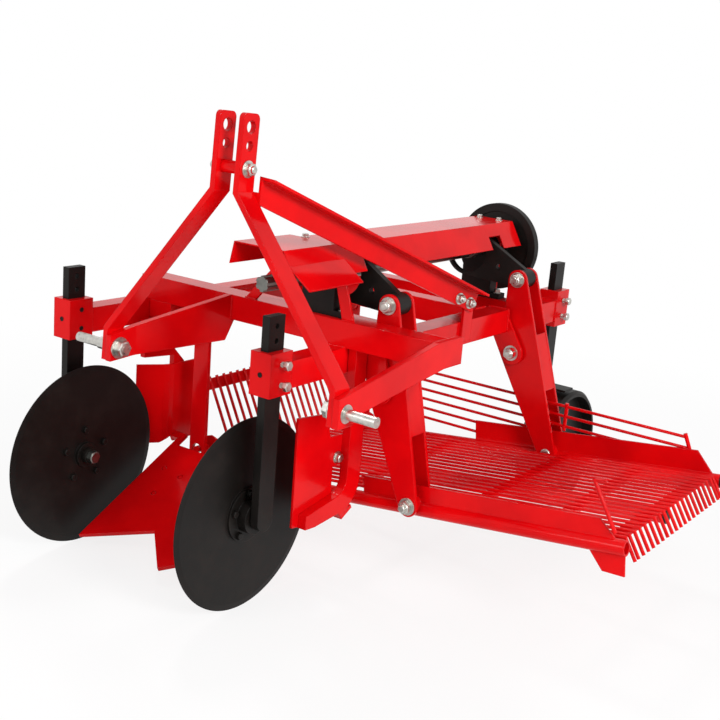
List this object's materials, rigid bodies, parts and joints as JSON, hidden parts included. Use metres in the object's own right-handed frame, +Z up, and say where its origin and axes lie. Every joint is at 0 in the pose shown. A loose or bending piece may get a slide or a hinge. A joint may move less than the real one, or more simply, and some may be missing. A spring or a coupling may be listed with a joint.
{
  "type": "potato digger",
  "caption": "Tractor-mounted vibrating potato digger: coulter discs, tilted share, rocking levers, a shaken bar sieve with side discharge, gauge wheel and a shaft-driven crank",
  "frame": {"origin": "on the floor under the middle of the machine's box", "axes": "+X to the discharge side, +Y backwards from the hitch, +Z up"},
  "size_m": [1.3556, 1.523, 1.0817],
  "materials": {
    "red_paint": "gloss red powder paint",
    "black_paint": "satin black paint",
    "zinc_steel": "bright zinc plating",
    "bare_steel": "oiled turned steel"
  },
  "bodies": {
    "frame": {"front_beam": "red_paint", "near_beam": "red_paint", "far_beam": "red_paint", "middle_beam": "red_paint", "rear_beam": "red_paint", "wheel_beam": "red_paint", "arm_near": "red_paint", "arm_far": "red_paint", "pin_near": "zinc_steel", "pin_far": "zinc_steel", "mast_near": "red_paint", "mast_far": "red_paint", "mast_spacer": "red_paint", "rear_stay": "red_paint", "stay_bracket": "red_paint", "bracket_front": "red_paint", "bracket_rear": "red_paint", "strut_near": "red_paint", "strut_far": "red_paint", "cover_end": "red_paint", "bearing_front": "black_paint", "bearing_rear": "black_paint", "cover": "red_paint", "disc_arm_near": "red_paint", "disc_arm_far": "red_paint", "shank_near": "black_paint", "shank_far": "black_paint", "leg_near": "red_paint", "leg_far": "red_paint", "wall_near": "red_paint", "wall_far": "red_paint", "share": "red_paint", "wheel_shank": "black_paint"},
    "drive": {"drive_shaft": "bare_steel", "flywheel": "black_paint"},
    "lever_front": {"lever_front": "red_paint"},
    "lever_rear": {"lever_rear": "red_paint"},
    "conrod_front": {"conrod_front": "black_paint"},
    "conrod_rear": {"conrod_rear": "black_paint"},
    "sieve": {"sieve_side_front": "red_paint", "sieve_side_rear": "red_paint", "sieve_grid": "red_paint", "guard_front": "red_paint", "guard_rear": "red_paint"},
    "hanger_front": {"hanger_front": "red_paint"},
    "hanger_rear": {"hanger_rear": "red_paint"},
    "disc_near": {"disc_near": "black_paint"},
    "disc_far": {"disc_far": "black_paint"},
    "gauge_wheel": {"gauge_wheel": "black_paint"}
  },
  "joints": [
    {"name": "disc_near_spin", "type": "hinge", "parent": "frame", "child": "disc_near", "pos_m": [-0.08371, -0.5415, 0.22], "axis": [1, 0, 0], "continuous": true},
    {"name": "disc_far_spin", "type": "hinge", "parent": "frame", "child": "disc_far", "pos_m": [-0.60371, -0.5415, 0.22], "axis": [1, 0, 0], "continuous": true},
    {"name": "wheel_spin", "type": "hinge", "parent": "frame", "child": "gauge_wheel", "pos_m": [0.11129, 0.5915, 0.17], "axis": [1, 0, 0], "continuous": true},
    {"name": "drive_spin", "type": "hinge", "parent": "frame", "child": "drive", "pos_m": [-0.10871, 0.0635, 0.723], "axis": [0, 1, 0], "continuous": true},
    {"name": "shake", "type": "hinge", "parent": "frame", "child": "lever_front", "pos_m": [0.04929, -0.2115, 0.478], "axis": [0, 1, 0], "range_deg": [-2.9, 2.9]},
    {"name": "lever_rear_swing", "type": "hinge", "parent": "frame", "child": "lever_rear", "pos_m": [0.07529, 0.3635, 0.482], "axis": [0, 1, 0], "range_deg": [-2.9, 2.9]},
    {"name": "conrod_front_pin", "type": "hinge", "parent": "lever_front", "child": "conrod_front", "pos_m": [0.04729, -0.2115, 0.673], "axis": [0, 1, 0], "range_deg": [-2.9, 2.9]},
    {"name": "conrod_rear_pin", "type": "hinge", "parent": "lever_rear", "child": "conrod_rear", "pos_m": [0.06329, 0.3635, 0.675], "axis": [0, 1, 0], "range_deg": [-2.9, 2.9]},
    {"name": "sieve_pin", "type": "hinge", "parent": "lever_front", "child": "sieve", "pos_m": [0.14529, -0.2115, 0.223], "axis": [0, 1, 0], "range_deg": [-2.9, 2.9]},
    {"name": "hanger_front_swing", "type": "hinge", "parent": "frame", "child": "hanger_front", "pos_m": [-0.50314, -0.2455, 0.505], "axis": [0, 1, 0], "range_deg": [-2.9, 2.9]},
    {"name": "hanger_rear_swing", "type": "hinge", "parent": "frame", "child": "hanger_rear", "pos_m": [-0.50314, 0.3975, 0.505], "axis": [0, 1, 0], "range_deg": [-2.9, 2.9]}
  ],
  "couplings": [
    {"joint": "lever_rear_swing", "follows": "shake", "ratio": 1},
    {"joint": "conrod_front_pin", "follows": "shake", "ratio": -1},
    {"joint": "conrod_rear_pin", "follows": "shake", "ratio": -1},
    {"joint": "sieve_pin", "follows": "shake", "ratio": -1},
    {"joint": "hanger_front_swing", "follows": "shake", "ratio": 0.8104},
    {"joint": "hanger_rear_swing", "follows": "shake", "ratio": 0.8104}
  ]
}
